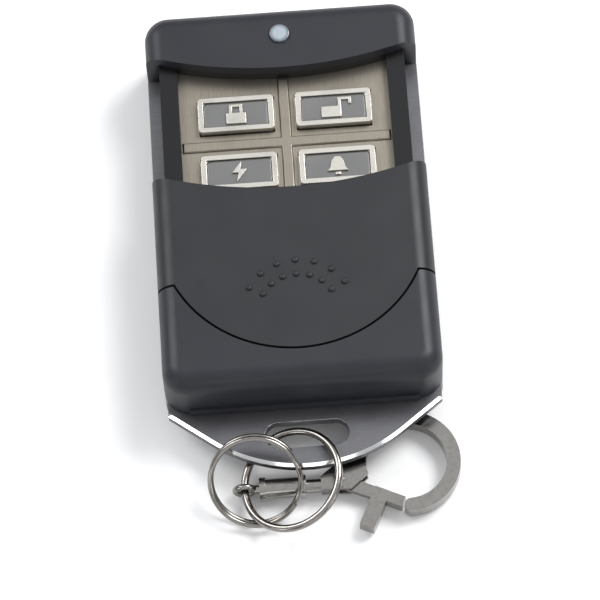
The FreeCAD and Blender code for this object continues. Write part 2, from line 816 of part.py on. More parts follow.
def make_board():
    body = new_part("circuit_board")
    near_bosses = upper_screw_along - boss_radius - board_gap
    neck = upper_screw_across - boss_radius - board_gap
    far = inner_half_length - board_gap
    add(body, board_low, board_top, [[
        (-board_half, board_near),
        (board_half, board_near),
        (board_half, near_bosses),
        (neck, near_bosses),
        (neck, far),
        (-neck, far),
        (-neck, near_bosses),
        (-board_half, near_bosses),
    ]])
    holes = round_pieces(board_screw_places(), board_screw_radius + running_gap)
    cut(body, board_low, board_top, circles=holes)
    return body


def place_at(item, across, along, height):
    item.setExpression("Placement.Base.x", as_size(across).text)
    item.setExpression("Placement.Base.y", as_size(along).text)
    item.setExpression("Placement.Base.z", as_size(height).text)


def block(name, left, right, near, far, low, high):
    item = doc.addObject("Part::Box", name)
    item.setExpression("Length", (as_size(right) - left).text)
    item.setExpression("Width", (as_size(far) - near).text)
    item.setExpression("Height", (as_size(high) - low).text)
    place_at(item, left, near, low)
    return item


def rod(name, radius, start, length, direction=(0, 0, 1)):
    """A cylinder from a start point along a direction."""
    item = doc.addObject("Part::Cylinder", name)
    item.setExpression("Radius", as_size(radius).text)
    item.setExpression("Height", as_size(length).text)
    turn = FreeCAD.Rotation(FreeCAD.Vector(0, 0, 1), FreeCAD.Vector(*direction))
    item.Placement = FreeCAD.Placement(FreeCAD.Vector(0, 0, 0), turn)
    place_at(item, *start)
    return item


def fused(name, items):
    item = doc.addObject("Part::MultiFuse", name)
    item.Shapes = items
    return item


def without(name, base, tool):
    item = doc.addObject("Part::Cut", name)
    item.Base = base
    item.Tool = tool
    return item


def group(name, items):
    item = doc.addObject("Part::Compound", name)
    item.Links = items
    return finished(name, item)


def finished(name, item):
    item.Label = name
    parts.append(item)
    return item


def make_switches():
    bodies = []
    for number, (across, along) in enumerate(key_places(), 1):
        half = switch_side / 2
        shell = block("switch_shell", across - half, across + half, along - half, along + half,
                      board_top, switch_top)
        hollow = rod("switch_hollow", plunger_radius + running_gap,
                     (across, along, switch_top - plunger_depth - key_travel - slide_gap),
                     plunger_depth + key_travel + slide_gap)
        bodies.append(without("switch_body", shell, hollow))
        plunger = rod("plunger", plunger_radius, (across, along, switch_top - plunger_depth),
                      plunger_depth + plunger_proud)
        finished("switch_plunger_" + str(number), plunger)
    group("tact_switches", bodies)


def make_lamp():
    lamp = block("lamp", -lamp_half, lamp_half, lens_place - lamp_half, lens_place + lamp_half,
                 board_top, board_top + lamp_height)
    finished("status_lamp", lamp)
    low = board_top + lamp_height + slide_gap
    stem = rod("lens_stem", lens_radius, (0, lens_place, low), case_height + lens_dome - low)
    flange_low = cover_inner_top - lens_flange_height
    flange = rod("lens_flange", lens_radius + lens_flange, (0, lens_place, flange_low), lens_flange_height)
    finished("lamp_lens", fused("lens", [stem, flange]))


def make_electronics():
    chip_middle = key_middle - key_pitch_along
    chip = block("chip", -chip_length / 2, chip_length / 2, chip_middle - chip_width / 2,
                 chip_middle + chip_width / 2, board_low - chip_height, board_low)
    finished("encoder_chip", chip)
    can_place = key_middle + key_pitch_along / 2
    can = rod("can", resonator_radius, (-key_pitch_across / 2, can_place, board_low - resonator_height),
              resonator_height)
    finished("resonator_can", can)


def arc_from(start, way, end):
    """The arc that leaves start along a way and reaches end."""
    chord = end - start
    along = FreeCAD.Vector(chord)
    along.normalize()
    across = way - along * way.dot(along)
    if across.Length < 1e-9:
        return Part.LineSegment(start, end).toShape()
    across.normalize()
    half_turn = math.acos(max(-1.0, min(1.0, way.dot(along)))) / 2
    top = (start + end) * 0.5 + across * (chord.Length / 2 * math.tan(half_turn))
    return Part.Arc(start, top, end).toShape()


def two_arcs(start, start_way, end, end_way):
    """Two arcs in one smooth run between two points with given directions."""
    chord = end - start
    ways = start_way + end_way
    bend = 2 * (1 - start_way.dot(end_way))
    forward = chord.dot(ways)
    if bend < 1e-9:
        reach = chord.dot(chord) / (2 * forward)
    else:
        reach = (-forward + math.sqrt(forward * forward + bend * chord.dot(chord))) / bend
    middle = (start + start_way * reach + end - end_way * reach) * 0.5
    back = arc_from(end, end_way * -1, middle)
    return [arc_from(start, start_way, middle), back]


def wire_tube(stations, radius):
    """A round wire through stations, each a point and a direction, and the path along its middle."""
    edges = []
    for (start, start_way), (end, end_way) in zip(stations, stations[1:]):
        edges += two_arcs(start, start_way, end, end_way)
    path = Part.Wire(Part.__sortEdges__(edges))
    ring = Part.Wire([Part.Circle(stations[0][0], stations[0][1], radius).toShape()])
    return path.makePipeShell([ring], True, False), path


def gap_to_itself(path, radius, least_apart):
    """Least clear gap between two places of a wire that are further apart along it than a given length."""
    count = 400
    points = path.discretize(Number=count)
    step = path.Length / (count - 1)
    apart = int(least_apart / step) + 1
    least = min(
        (points[one] - points[other]).Length
        for one in range(count)
        for other in range(one + apart, count)
    )
    return least - 2 * radius


def helix_stations(radius, pitch, turns, per_turn=4):
    slope = pitch / (2 * math.pi)
    stations = []
    for number in range(int(round(turns * per_turn)) + 1):
        angle = number * 2 * math.pi / per_turn
        point = FreeCAD.Vector(radius * math.cos(angle), radius * math.sin(angle), slope * angle)
        way = FreeCAD.Vector(-radius * math.sin(angle), radius * math.cos(angle), slope)
        way.normalize()
        stations.append((point, way))
    return stations


def wound(name, stations, wire, placement, nearest):
    item = doc.addObject("Part::Feature", name)
    item.Shape, path = wire_tube(stations, wire / 2)
    item.Placement = placement
    print(name, "least gap to itself", round(gap_to_itself(path, wire / 2, nearest), 3))
    return finished(name, item)


def make_power():
    middle = battery_middle_height
    plate_outer = half_width - ledge_width - frame_step - contact_gap
    plus_face = plate_outer - contact_thickness
    near = battery_place - contact_half
    far = battery_place + contact_half
    low = back_floor + contact_gap
    high = deck_low - contact_gap
    plus = block("plus_contact", plus_face, plate_outer, near, far, low, high)
    finished("battery_plus_contact", plus)
    minus = block("minus_contact", -plate_outer, -plus_face, near, far, low, high)
    finished("battery_minus_contact", minus)
    can_end = plus_face - seam_gap - nub_height
    can_start = plus_face - seam_gap - battery_length
    can = rod("battery_can", battery_radius, (can_start, battery_place, middle),
              battery_length - nub_height, (1, 0, 0))
    nub = rod("battery_nub", nub_radius, (can_end, battery_place, middle), nub_height, (1, 0, 0))
    finished("battery", fused("battery_solid", [can, nub]))
    room = can_start + plus_face
    pitch = (room - 2 * seam_gap - spring_wire) / spring_turns
    stations = helix_stations(spring_radius.value, pitch.value, spring_turns.value)
    start = FreeCAD.Vector((-plus_face + seam_gap + spring_wire / 2).value, battery_place.value, middle.value)
    turn = FreeCAD.Rotation(FreeCAD.Vector(0, 0, 1), FreeCAD.Vector(1, 0, 0))
    wound("battery_spring", stations, spring_wire.value, FreeCAD.Placement(start, turn),
          3 * spring_wire.value)


def make_antenna_coil():
    span = coil_pitch * coil_turns
    base = FreeCAD.Vector((key_pitch_across / 2 - span / 2).value, (key_middle + key_pitch_along / 2).value,
                          (board_low - coil_radius - coil_wire / 2 - seam_gap).value)
    turn = FreeCAD.Rotation(FreeCAD.Vector(0, 0, 1), FreeCAD.Vector(1, 0, 0))
    stations = helix_stations(coil_radius.value, coil_pitch.value, coil_turns.value)
    wound("antenna_coil", stations, coil_wire.value, FreeCAD.Placement(base, turn), 3 * coil_wire.value)


def screw(place, head_low, head_radius, head_height, thread_radius, thread_length):
    """A screw whose head faces the back, with a cross recess."""
    across, along = place
    head = rod("screw_head", head_radius, (across, along, head_low), head_height)
    thread = rod("screw_thread", thread_radius, (across, along, head_low + head_height), thread_length)
    half = recess_width / 2
    reach = head_radius * recess_share
    bars = [
        block("recess_bar", across - reach, across + reach, along - half, along + half,
              head_low, head_low + recess_depth),
        block("recess_bar", across - half, across + half, along - reach, along + reach,
              head_low, head_low + recess_depth),
    ]
    return without("screw", fused("screw_solid", [head, thread]), fused("recess", bars))


def make_screws():
    group("case_screws", [
        screw(place, head_sink, screw_head_radius, screw_head_height, screw_radius, case_screw_length)
        for place in case_screw_places()
    ])
    head_low = board_low - board_head_height
    group("board_screws", [
        screw(place, head_low, board_head_radius, board_head_height, board_screw_radius,
              board_screw_length)
        for place in board_screw_places()
    ])


def make_detent_spring():
    body = new_part("detent_spring")
    half = detent_half - slide_gap / 2
    rise = detent_depth
    low = deck_top - detent_depth
    near = detent_place - detent_width / 2 + slide_gap / 2
    far = detent_place + detent_width / 2 - slide_gap / 2
    strip = spring_strip
    add(body, low, low + strip, [box_corners(-half, half, near, far)])
    add(body, low, low + rise, [box_corners(-detent_bump_half, detent_bump_half, near, far)])
    return body


# The chain of rings and the clasp

link_along = -half_length - link_back
link_drop = link_radius * sine(link_tilt_angle)
link_reach = link_radius * cosine(link_tilt_angle)
axis_height = eye_radius + eye_wire / 2
axis_along = link_along
link_height = axis_height + link_drop
eye_across = link_across - link_reach
barrel_start = eye_across + eye_radius + eye_wire / 2 + slide_gap
barrel_end = barrel_start + barrel_length
neck_end = barrel_end + neck_length
hook_middle = (neck_end + hook_across, axis_along + hook_rise)
pin_place = (neck_end + pin_across, axis_along + pin_beside)
hook_low = axis_height - hook_thickness / 2
hook_high = axis_height + hook_thickness / 2


def on_circle(middle, radius, degrees):
    angle = as_size(degrees)
    return middle[0] + radius * cosine(angle), middle[1] + radius * sine(angle)


def torus(name, radius, wire, place, turn, angle):
    item = doc.addObject("Part::Torus", name)
    item.setExpression("Radius1", radius.text)
    item.setExpression("Radius2", (wire / 2).text)
    item.Placement = FreeCAD.Placement(FreeCAD.Vector(0, 0, 0), FreeCAD.Rotation(turn, angle.value))
    item.setExpression("Placement.Rotation.Angle", angle.text + "*1deg")
    place_at(item, *place)
    return item


def make_link_ring():
    sideways = FreeCAD.Vector(0, -1, 0)
    place = (link_across, link_along, link_height)
    ring = torus("link", link_radius, link_wire, place, sideways, link_tilt_angle)
    finished("link_ring", ring)


def make_swivel_eye():
    upright = FreeCAD.Vector(1, 0, 0)
    eye = torus("eye", eye_radius, eye_wire, (eye_across, axis_along, axis_height), upright, as_size(90))
    post_start = eye_across + eye_radius
    post_end = barrel_start + barrel_mouth + end_play
    post = rod("post", post_thread, (post_start, axis_along, axis_height), post_end - post_start + end_play,
               (1, 0, 0))
    head = rod("post_head", post_head_radius, (post_end, axis_along, axis_height), post_head_length,
               (1, 0, 0))
    finished("swivel_eye", fused("eye_solid", [eye, post, head]))


def make_barrel():
    start = (barrel_start, axis_along, axis_height)
    middle = rod("barrel_tube", barrel_radius, start, barrel_length, (1, 0, 0))
    near = rod("near_collar", collar_radius, start, collar_length, (1, 0, 0))
    far = rod("far_collar", collar_radius, (barrel_end - collar_length, axis_along, axis_height),
              collar_length, (1, 0, 0))
    bore = rod("bore", post_thread + running_gap, start, barrel_mouth + end_play, (1, 0, 0))
    room_start = barrel_start + barrel_mouth
    room = rod("head_room", post_head_radius + running_gap, (room_start, axis_along, axis_height),
               post_head_length + 2 * end_play, (1, 0, 0))
    return without("barrel", fused("barrel_solid", [middle, near, far]), fused("barrel_bore", [bore, room]))


def make_hook():
    name = "clasp_hook"
    plate = doc.addObject("PartDesign::Body", "hook_plate")
    cap = (hook_outer - hook_inner) / 2
    mean = hook_inner + cap
    tip = on_circle(hook_middle, mean, hook_tip_angle)
    apex = on_circle(tip, cap, hook_tip_angle - 90)
    outline = [
        (neck_end - neck_overlap, axis_along + neck_radius),
        (*on_circle(hook_middle, hook_outer, hook_root_angle), hook_outer, -1),
        (*on_circle(hook_middle, hook_outer, 90), hook_outer, -1),
        (*on_circle(hook_middle, hook_outer, 0), hook_outer, -1),
        (*on_circle(hook_middle, hook_outer, hook_tip_angle), cap, -1),
        (*apex, cap, -1),
        (*on_circle(hook_middle, hook_inner, hook_tip_angle), hook_inner, 1),
        (*on_circle(hook_middle, hook_inner, 0), hook_inner, 1),
        (*on_circle(hook_middle, hook_inner, 90), hook_inner, 1),
        on_circle(hook_middle, hook_inner, throat_angle),
        (pin_place[0] + throat_across, pin_place[1] - throat_beside),
        (neck_end - neck_overlap, axis_along - neck_radius),
    ]
    add(plate, hook_low, hook_high, [outline])

    fork = box_corners(pin_place[0] - fork_heel, hook_middle[0] - fork_end,
                       axis_along - hook_outer / 2, pin_place[1] + fork_side)
    cut(plate, axis_height - fork_width / 2, axis_height + fork_width / 2, [fork])
    cut(plate, hook_low, hook_high, circles=[(*pin_place, gate_pin_radius + seam_gap / 2)])
    neck = rod("neck", neck_radius, (barrel_end - end_play, axis_along, axis_height),
               neck_length + 2 * end_play, (1, 0, 0))
    finished(name, fused("hook_solid", [plate, neck, make_barrel()]))


def turned(point, degrees):
    """A point given along and across the gate, in the frame of the case."""
    angle = as_size(degrees)
    along, across = as_size(point[0]), as_size(point[1])
    return (
        pin_place[0] + along * cosine(angle) - across * sine(angle),
        pin_place[1] + along * sine(angle) + across * cosine(angle),
    )


def make_gate():
    body = new_part("clasp_gate")
    outline = [
        turned((-gate_heel, 0), gate_angle) + (gate_heel, 1),
        turned((0, -gate_heel), gate_angle),
        turned((gate_length, -gate_half), gate_angle),
        turned((gate_length, gate_half), gate_angle),
        turned((0, gate_heel), gate_angle) + (gate_heel, 1),
    ]
    half_thin = gate_thin / 2
    add(body, axis_height - half_thin, axis_height + half_thin, [outline])
    knob_near = gate_shoulder + seam_gap
    thick = [turned(point, gate_angle) for point in (
        (gate_shoulder, -gate_half),
        (knob_near, -gate_half - knob_length),
        (knob_near + knob_width, -gate_half - knob_length),
        (knob_near + knob_width, -gate_half),
        (gate_length, -gate_half),
        (gate_length, gate_half),
        (gate_shoulder, gate_half),
    )]
    add(body, hook_low, hook_high, [thick])
    cut(body, hook_low, hook_high, circles=[(*pin_place, gate_pin_radius + running_gap)])
    return body


def make_gate_pin():
    pin = rod("pin", gate_pin_radius, (*pin_place, hook_low - seam_gap), hook_thickness + 2 * seam_gap)
    finished("gate_pin", pin)


def split_ring_stations():
    """Two flat turns and the step between them, in the ring's own plane."""
    radius = split_radius.value
    half_pitch = split_pitch.value / 2
    wire_start = 35.0
    step_start = 330.0
    step_end = 390.0
    step_slope = 0.33
    arcs = 5
    stride = (step_start - wire_start) / arcs
    stops = [(wire_start + stride * number, -half_pitch, 0) for number in range(arcs + 1)]
    stops.append(((step_start + step_end) / 2, 0, step_slope))
    stops += [(step_end + stride * number, half_pitch, 0) for number in range(arcs + 1)]
    stations = []
    for degrees, height, slope in stops:
        angle = math.radians(degrees)
        point = FreeCAD.Vector(radius * math.cos(angle), radius * math.sin(angle), height)
        way = FreeCAD.Vector(-math.sin(angle), math.cos(angle), slope)
        way.normalize()
        stations.append((point, way))
    return stations


def make_split_ring():
    facing = math.radians(split_facing_angle.value)
    level_line = FreeCAD.Vector(math.sin(facing), -math.cos(facing), 0)
    lean = FreeCAD.Rotation(level_line, split_tilt_angle.value)
    place = FreeCAD.Vector(split_across.value, (-half_length - split_back).value, split_height.value)
    wound("split_ring", split_ring_stations(), split_wire.value,
          FreeCAD.Placement(place, lean), split_radius.value)


def finish_model():
    doc.recompute()
    for item in doc.Objects:
        if "Invalid" in item.State or "Error" in item.State:
            raise RuntimeError("failed feature: " + item.Name + " " + str(item.State))
    for item in parts:
        if item.Shape.isNull() or not item.Shape.isValid():
            raise RuntimeError("bad shape: " + item.Label)
    for item in parts:
        item.Shape.exportStep("parts/" + item.Label + ".step")
        print(item.Label, len(item.Shape.Solids), round(item.Shape.Volume, 2))


make_back_cover()
make_metal_frame()
make_front_case()
make_slide_cover()
make_key_plate()
for key_name, key_place, key_pictogram in zip(
    ("key_lock", "key_unlock", "key_start", "key_alarm"),
    key_places(),
    (closed_lock, open_lock, lightning, bell),
):
    make_key(key_name, key_place, key_pictogram)
make_board()
make_switches()
make_lamp()
make_electronics()
make_power()
make_antenna_coil()
make_screws()
make_detent_spring()
make_link_ring()
make_split_ring()
make_swivel_eye()
make_hook()
make_gate()
make_gate_pin()
finish_model()
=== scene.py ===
import bpy
import bmesh
import math
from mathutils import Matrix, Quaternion, Vector


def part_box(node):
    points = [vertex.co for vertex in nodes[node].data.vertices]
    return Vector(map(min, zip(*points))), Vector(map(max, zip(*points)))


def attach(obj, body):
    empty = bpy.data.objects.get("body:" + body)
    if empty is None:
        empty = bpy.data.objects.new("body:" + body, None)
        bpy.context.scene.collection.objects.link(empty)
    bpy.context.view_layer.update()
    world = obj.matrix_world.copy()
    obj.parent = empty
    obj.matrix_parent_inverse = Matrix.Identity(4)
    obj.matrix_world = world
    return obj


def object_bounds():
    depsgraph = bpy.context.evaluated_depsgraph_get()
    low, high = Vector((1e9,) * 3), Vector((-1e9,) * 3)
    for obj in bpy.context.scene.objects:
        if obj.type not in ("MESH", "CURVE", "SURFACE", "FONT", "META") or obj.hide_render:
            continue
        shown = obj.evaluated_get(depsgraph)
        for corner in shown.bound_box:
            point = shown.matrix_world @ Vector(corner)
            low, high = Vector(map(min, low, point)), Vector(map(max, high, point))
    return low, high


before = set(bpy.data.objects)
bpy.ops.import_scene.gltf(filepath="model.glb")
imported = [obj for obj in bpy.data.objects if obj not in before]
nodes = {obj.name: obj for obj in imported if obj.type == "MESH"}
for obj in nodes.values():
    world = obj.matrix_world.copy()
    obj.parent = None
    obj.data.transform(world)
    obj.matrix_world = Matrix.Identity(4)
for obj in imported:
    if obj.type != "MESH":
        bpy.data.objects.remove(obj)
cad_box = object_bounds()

MM = 0.001
scene = bpy.context.scene
scene.view_settings.view_transform = "Standard"

# The camera looks from the tab's end at the photograph's angle.
CAMERA_TARGET = Vector((0.27, -16.3, 13.0)) * MM
CAMERA_DISTANCE = 500 * MM
CAMERA_ELEVATION = math.radians(64.3)
CAMERA_ROLL = math.radians(-4.0)
CLIP_START = 0.01
CLIP_END = 20.0
FRAME_WIDTH = 77.0 * MM
SENSOR_WIDTH = 36.0


def make_camera():
    data = bpy.data.cameras.new("camera")
    data.sensor_width = SENSOR_WIDTH
    data.lens = SENSOR_WIDTH * CAMERA_DISTANCE / FRAME_WIDTH
    data.clip_start = CLIP_START
    data.clip_end = CLIP_END
    camera = bpy.data.objects.new("camera", data)
    scene.collection.objects.link(camera)
    away = Vector((0.0, -math.cos(CAMERA_ELEVATION), math.sin(CAMERA_ELEVATION)))
    camera.location = CAMERA_TARGET + away * CAMERA_DISTANCE
    aim = (-away).to_track_quat("-Z", "Y")
    camera.rotation_mode = "QUATERNION"
    camera.rotation_quaternion = aim @ Quaternion((0.0, 0.0, 1.0), CAMERA_ROLL)
    scene.camera = camera


make_camera()


# Materials
# The sockets of a Mix node, which share their names and so go by number.
MIX_SHARE = 0
MIX_VALUE_ONE = 2
MIX_VALUE_OTHER = 3
MIX_COLOR_ONE = 6
MIX_COLOR_OTHER = 7
MIXED_VALUE = 0
MIXED_COLOR = 2

# A region's edge fades over REGION_BLEND, and a slope's over SLOPE_BLEND of the upward part of its direction.
REGION_BLEND = 0.04 * MM
SLOPE_LOW = 0.45
SLOPE_HIGH = 0.9
SLOPE_BLEND = 0.02
GLOSS_NOISE_LOW = 0.3
GLOSS_NOISE_HIGH = 0.7
EVEN = (1.0, 1.0, 1.0)
LEVEL_ONLY = (1.0, 1.0, 0.0)


class Surface:
    """A node material with one Principled shader and short calls for its detail."""

    def __init__(self, name, color, roughness, metallic=0.0, specular=0.5):
        self.material = bpy.data.materials.new(name)
        self.material.use_nodes = True
        self.tree = self.material.node_tree
        self.shader = self.tree.nodes["Principled BSDF"]
        self.color = color
        self.roughness = roughness
        self.shader.inputs["Base Color"].default_value = (*color, 1.0)
        self.shader.inputs["Roughness"].default_value = roughness
        self.shader.inputs["Metallic"].default_value = metallic
        self.shader.inputs["Specular IOR Level"].default_value = specular
        self.place = self.node("ShaderNodeTexCoord").outputs["Object"]
        self.height = None

    def node(self, kind):
        return self.tree.nodes.new(kind)

    def join(self, source, target):
        self.tree.links.new(source, target)

    def noise(self, size, detail, stretch=EVEN):
        """Noise whose blotches are about a given size in metres, stretched along the axes."""
        mapping = self.node("ShaderNodeMapping")
        mapping.inputs["Scale"].default_value = tuple(1.0 / (size * part) for part in stretch)
        texture = self.node("ShaderNodeTexNoise")
        texture.inputs["Scale"].default_value = 1.0
        texture.inputs["Detail"].default_value = detail
        self.join(self.place, mapping.inputs["Vector"])
        self.join(mapping.outputs["Vector"], texture.inputs["Vector"])
        return texture.outputs["Fac"]

    def ramp(self, source, low, high, low_value, high_value):
        """Goes from one value to another as the source goes from low to high."""
        remap = self.node("ShaderNodeMapRange")
        remap.inputs["From Min"].default_value = low
        remap.inputs["From Max"].default_value = high
        remap.inputs["To Min"].default_value = low_value
        remap.inputs["To Max"].default_value = high_value
        self.join(source, remap.inputs["Value"])
        return remap.outputs["Result"]

    def tint(self, source, other, low, high):
        """Blends the colour towards another as the source goes from low to high."""
        blend = self.node("ShaderNodeMix")
        blend.data_type = "RGBA"
        blend.inputs[MIX_COLOR_ONE].default_value = (*self.color, 1.0)
        blend.inputs[MIX_COLOR_OTHER].default_value = (*other, 1.0)
        current = self.shader.inputs["Base Color"]
        if current.is_linked:
            self.join(current.links[0].from_socket, blend.inputs[MIX_COLOR_ONE])
        self.join(self.ramp(source, low, high, 0.0, 1.0), blend.inputs[MIX_SHARE])
        self.join(blend.outputs[MIXED_COLOR], current)

    def vary_roughness(self, source, spread):
        """Lets the roughness go a spread below and above its value with the source."""
        span = self.ramp(
            source, GLOSS_NOISE_LOW, GLOSS_NOISE_HIGH, self.roughness - spread, self.roughness + spread
        )
        self.join(span, self.shader.inputs["Roughness"])

    def relief(self, source, depth, strength):
        """Adds a bump of a given depth in metres on top of the earlier ones."""
        bump = self.node("ShaderNodeBump")
        bump.inputs["Strength"].default_value = strength
        bump.inputs["Distance"].default_value = depth
        self.join(source, bump.inputs["Height"])
        if self.height is not None:
            self.join(self.height, bump.inputs["Normal"])
        self.height = bump.outputs["Normal"]
        self.join(self.height, self.shader.inputs["Normal"])

    def product(self, one, other):
        times = self.node("ShaderNodeMath")
        times.operation = "MULTIPLY"
        self.join(one, times.inputs[0])
        self.join(other, times.inputs[1])
        return times.outputs["Value"]

    def between(self, axis, low, high):
        """1 where the place along an axis lies between two values, and 0 elsewhere."""
        split = self.node("ShaderNodeSeparateXYZ")
        self.join(self.place, split.inputs["Vector"])
        rising = self.ramp(split.outputs[axis], low - REGION_BLEND, low, 0.0, 1.0)
        falling = self.ramp(split.outputs[axis], high, high + REGION_BLEND, 1.0, 0.0)
        return self.product(rising, falling)

    def away_from(self, across, along):
        """Distance from an upright line at a place on the case."""
        offset = self.node("ShaderNodeVectorMath")
        offset.operation = "SUBTRACT"
        offset.inputs[1].default_value = (across, along, 0.0)
        self.join(self.place, offset.inputs[0])
        level = self.node("ShaderNodeVectorMath")
        level.operation = "MULTIPLY"
        level.inputs[1].default_value = LEVEL_ONLY
        self.join(offset.outputs["Vector"], level.inputs[0])
        length = self.node("ShaderNodeVectorMath")
        length.operation = "LENGTH"
        self.join(level.outputs["Vector"], length.inputs[0])
        return length.outputs["Value"]

    def finish_where(self, mask, color, roughness):
        """Another colour and gloss where a mask is 1."""
        self.tint(mask, color, 0.0, 1.0)
        gloss = self.node("ShaderNodeMix")
        gloss.inputs[MIX_VALUE_OTHER].default_value = roughness
        self.join(mask, gloss.inputs[MIX_SHARE])
        current = self.shader.inputs["Roughness"]
        self.join(current.links[0].from_socket, gloss.inputs[MIX_VALUE_ONE])
        self.join(gloss.outputs[MIXED_VALUE], current)

    def slopes(self):
        """1 on faces that look up at a slant, such as an upper bevel, and 0 on all others."""
        geometry = self.node("ShaderNodeNewGeometry")
        split = self.node("ShaderNodeSeparateXYZ")
        self.join(geometry.outputs["True Normal"], split.inputs["Vector"])
        above = self.ramp(split.outputs["Z"], SLOPE_LOW - SLOPE_BLEND, SLOPE_LOW, 0.0, 1.0)
        below = self.ramp(split.outputs["Z"], SLOPE_HIGH, SLOPE_HIGH + SLOPE_BLEND, 1.0, 0.0)
        return self.product(above, below)


# How many times deeper moulded plastic's waves are than its grain, and plating's waves than its pits
WAVE_TO_GRAIN = 2
WAVE_TO_PIT = 12
# How many times longer than wide brushed lines are, and the axis that they run along
LINE_STRETCH = 60.0
ACROSS_CASE = 0
ALONG_CASE = 1


def moulded(name, color, roughness, grain_size, grain_depth, lighter):
    """Moulded plastic: a fine spark-eroded grain and slight gloss changes from handling."""
    surface = Surface(name, color, roughness, specular=0.3)
    surface.tint(surface.noise(size=7 * MM, detail=3.0), lighter, low=0.4, high=0.75)
    surface.vary_roughness(surface.noise(size=4 * MM, detail=4.0), spread=0.04)
    surface.relief(surface.noise(grain_size, detail=3.0), grain_depth, strength=0.6)
    surface.relief(surface.noise(size=3.2 * MM, detail=2.0), grain_depth * WAVE_TO_GRAIN, strength=0.25)
    return surface


def brushed(name, color, roughness, other, lines_run, line_width=0.05 * MM):
    """Brushed metal: fine lines along one axis, clouded colour and gloss."""
    surface = Surface(name, color, roughness, metallic=1.0)
    stretch = list(EVEN)
    stretch[lines_run] = LINE_STRETCH
    lines = surface.noise(line_width, detail=3.0, stretch=stretch)
    surface.tint(lines, other, low=0.35, high=0.7)
    surface.tint(surface.noise(size=5 * MM, detail=3.0), other, low=0.5, high=0.8)
    surface.vary_roughness(lines, spread=0.09)
    surface.relief(lines, depth=0.004 * MM, strength=0.5)
    return surface


def plated(name, color, roughness, dark, depth=0.01 * MM):
    """Bright plating over a casting: soft waves, fine pits, and gloss that handling has dulled."""
    surface = Surface(name, color, roughness, metallic=1.0)
    surface.tint(surface.noise(size=0.5 * MM, detail=4.0), dark, low=0.5, high=0.85)
    surface.vary_roughness(surface.noise(size=1.3 * MM, detail=5.0), spread=0.06)
    surface.relief(surface.noise(size=1.6 * MM, detail=2.0), depth, strength=0.25)
    surface.relief(surface.noise(size=0.1 * MM, detail=2.0), depth / WAVE_TO_PIT, strength=0.25)
    return surface


def glossy(name, color, roughness, other, speckle=0.8 * MM):
    """Smooth lacquer or plastic with slight clouding and a few specks."""
    surface = Surface(name, color, roughness)
    surface.tint(surface.noise(speckle, detail=3.0), other, low=0.45, high=0.75)
    surface.vary_roughness(surface.noise(size=3 * MM, detail=3.0), spread=0.05)
    surface.relief(surface.noise(size=0.4 * MM, detail=2.0), depth=0.003 * MM, strength=0.4)
    return surface


# The front case, with painted shade that darkens its recessed rails and deck below the cover's level, where
# they are also glossier
SHELL_COLOR = (0.0180, 0.0190, 0.0240)
RAIL_SHADE_COLOR = (0.006, 0.006, 0.007)
RAIL_ROUGHNESS = 0.3
RAIL_SIDE = 16.6 * MM
RAIL_TOP = 11.3 * MM
RAIL_NEAR = -13.0 * MM
RAIL_FAR = 21.5 * MM
shell = moulded(
    "shell", SHELL_COLOR, roughness=0.42,
    grain_size=0.09 * MM, grain_depth=0.006 * MM, lighter=(0.021, 0.0222, 0.0275),
)
# Painted shade: a darker colour over the recess below the cover's level, between the case's sides
rail_shade_mask = shell.product(
    shell.product(shell.between("X", -RAIL_SIDE, RAIL_SIDE), shell.between("Z", 0.0, RAIL_TOP)),
    shell.between("Y", RAIL_NEAR, RAIL_FAR),
)
shell.finish_where(rail_shade_mask, RAIL_SHADE_COLOR, RAIL_ROUGHNESS)

# The other plastics
cover = moulded(
    "cover", (0.0165, 0.017, 0.0200), roughness=0.42,
    grain_size=0.07 * MM, grain_depth=0.008 * MM, lighter=(0.0195, 0.020, 0.0232),
)
back_shell = moulded(
    "back_shell", SHELL_COLOR, roughness=0.5,
    grain_size=0.12 * MM, grain_depth=0.01 * MM, lighter=(0.0235, 0.0248, 0.030),
)
chip = moulded(
    "chip", (0.02, 0.02, 0.021), roughness=0.55,
    grain_size=0.06 * MM, grain_depth=0.008 * MM, lighter=(0.03, 0.03, 0.031),
)
switch_plastic = moulded(
    "switch_plastic", (0.28, 0.05, 0.03), roughness=0.5,
    grain_size=0.1 * MM, grain_depth=0.005 * MM, lighter=(0.34, 0.07, 0.04),
)
board = glossy("board", (0.02, 0.12, 0.045), roughness=0.3, other=(0.03, 0.17, 0.07))
jacket = glossy("jacket", (0.03, 0.05, 0.16), roughness=0.25, other=(0.05, 0.08, 0.22), speckle=2 * MM)
lamp_plastic = glossy("lamp_plastic", (0.7, 0.75, 0.8), roughness=0.2, other=(0.6, 0.66, 0.72))

# The frame's metal, polished on the rim of the tab
TAB_TIP = -45.0 * MM
TAB_ROOT = -27.6 * MM
POLISH_COLOR = (0.95, 0.95, 0.96)
POLISH_ROUGHNESS = 0.12
frame_metal = brushed(
    "frame_metal", (0.175, 0.175, 0.185), roughness=0.36, other=(0.115, 0.115, 0.125), lines_run=ACROSS_CASE
)
tab_rim = frame_metal.product(frame_metal.slopes(), frame_metal.between("Y", TAB_TIP, TAB_ROOT))
frame_metal.finish_where(tab_rim, POLISH_COLOR, POLISH_ROUGHNESS)

